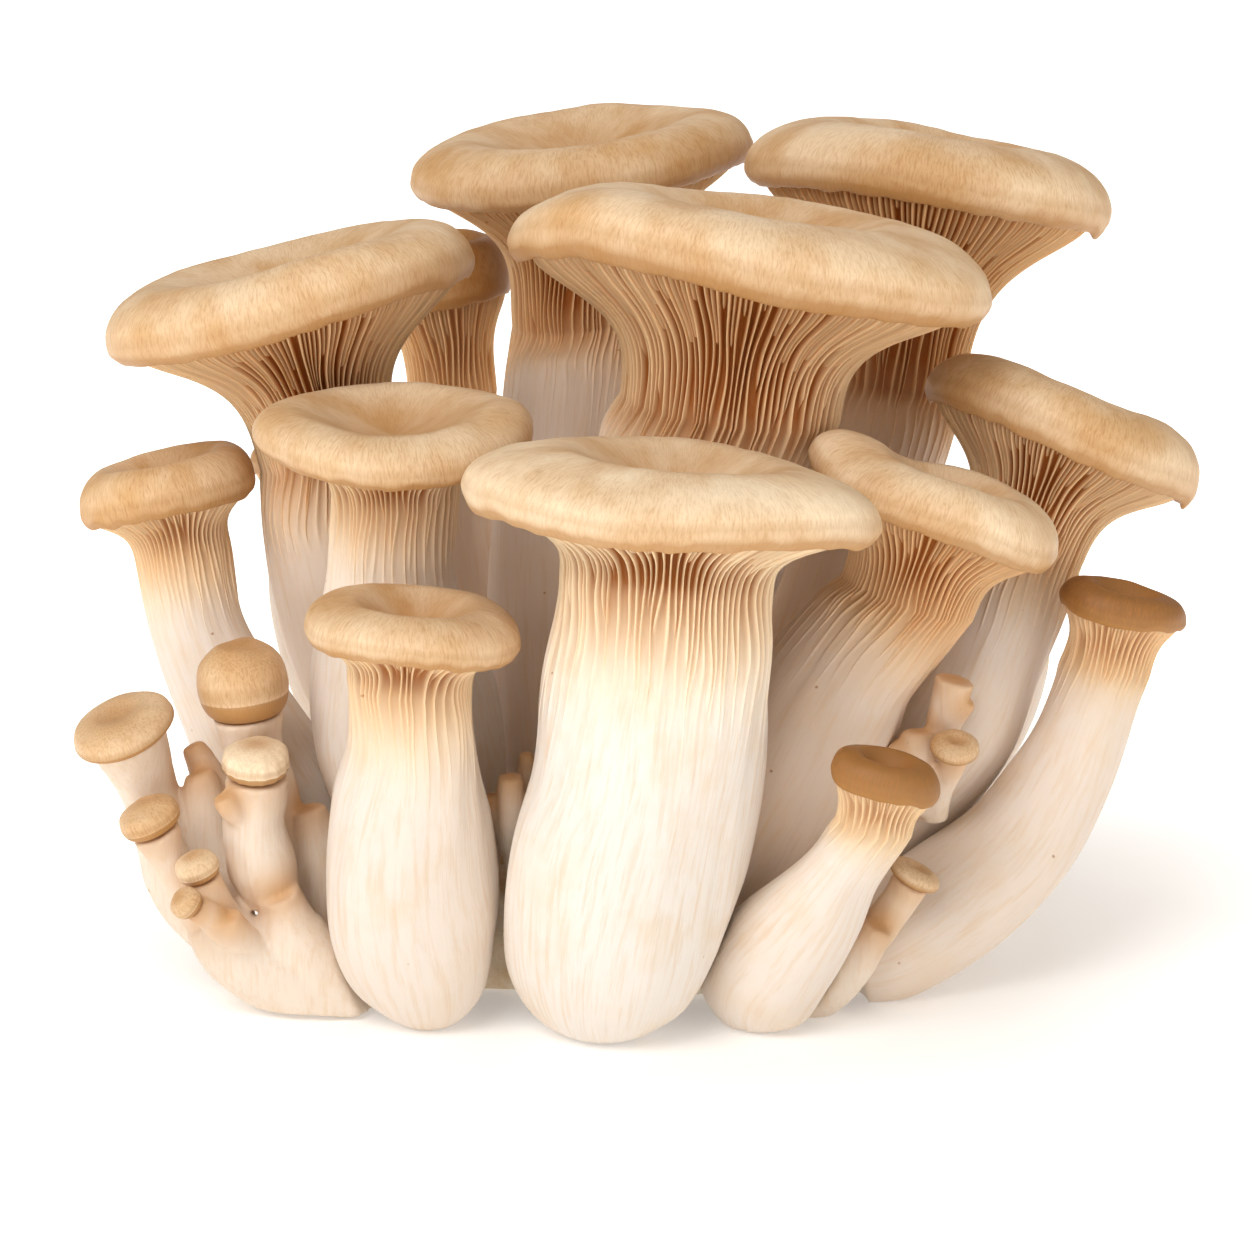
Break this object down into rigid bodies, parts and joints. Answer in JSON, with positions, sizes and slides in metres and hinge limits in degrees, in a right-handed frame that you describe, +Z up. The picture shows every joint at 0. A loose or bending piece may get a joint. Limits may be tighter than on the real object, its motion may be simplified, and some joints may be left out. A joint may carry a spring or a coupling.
{
  "type": "king oyster mushroom cluster",
  "caption": "Bunch of king oyster mushrooms grown from one foot, with dimpled tan caps, gills running down thick pale stems, and young pins at its sides.",
  "frame": {"origin": "middle of the bunch's box, on the surface that it stands on", "axes": "+X to the right seen from the front, +Y to the back, +Z up"},
  "size_m": [0.2408, 0.19, 0.1772],
  "materials": {
    "cap_skin": "fine matte tan skin with a faint sheen",
    "stem_flesh": "smooth cream flesh, matte",
    "foot_flesh": "rough cut flesh, yellow beige",
    "pin_cap_skin": "matte brown skin"
  },
  "bodies": {
    "root": {"cap_back_left": "cap_skin", "cap_back_middle": "cap_skin", "cap_back_right": "cap_skin", "cap_front_left": "cap_skin", "cap_front_small": "cap_skin", "cap_front_tall": "cap_skin", "cap_hidden_left": "cap_skin", "cap_hidden_right": "cap_skin", "cap_left_large": "cap_skin", "cap_left_small": "cap_skin", "cap_middle_large": "cap_skin", "cap_middle_left": "cap_skin", "cap_pin_bell": "pin_cap_skin", "cap_pin_curled": "pin_cap_skin", "cap_pin_domed": "pin_cap_skin", "cap_pin_flat": "pin_cap_skin", "cap_pin_low": "pin_cap_skin", "cap_pin_round": "pin_cap_skin", "cap_pin_tilted": "pin_cap_skin", "cap_pin_wide": "pin_cap_skin", "cap_right_inner": "cap_skin", "cap_right_low": "cap_skin", "cap_right_outer": "cap_skin", "foot": "foot_flesh", "front_twin": "stem_flesh", "left_pins": "stem_flesh", "middle_pins": "stem_flesh", "right_pins": "stem_flesh", "stem_back_left": "stem_flesh", "stem_back_middle": "stem_flesh", "stem_back_right": "stem_flesh", "stem_front_left": "stem_flesh", "stem_front_small": "stem_flesh", "stem_front_tall": "stem_flesh", "stem_hidden_left": "stem_flesh", "stem_hidden_right": "stem_flesh", "stem_left_large": "stem_flesh", "stem_left_small": "stem_flesh", "stem_middle_large": "stem_flesh", "stem_middle_left": "stem_flesh", "stem_right_inner": "stem_flesh", "stem_right_low": "stem_flesh", "stem_right_outer": "stem_flesh"}
  },
  "joints": []
}
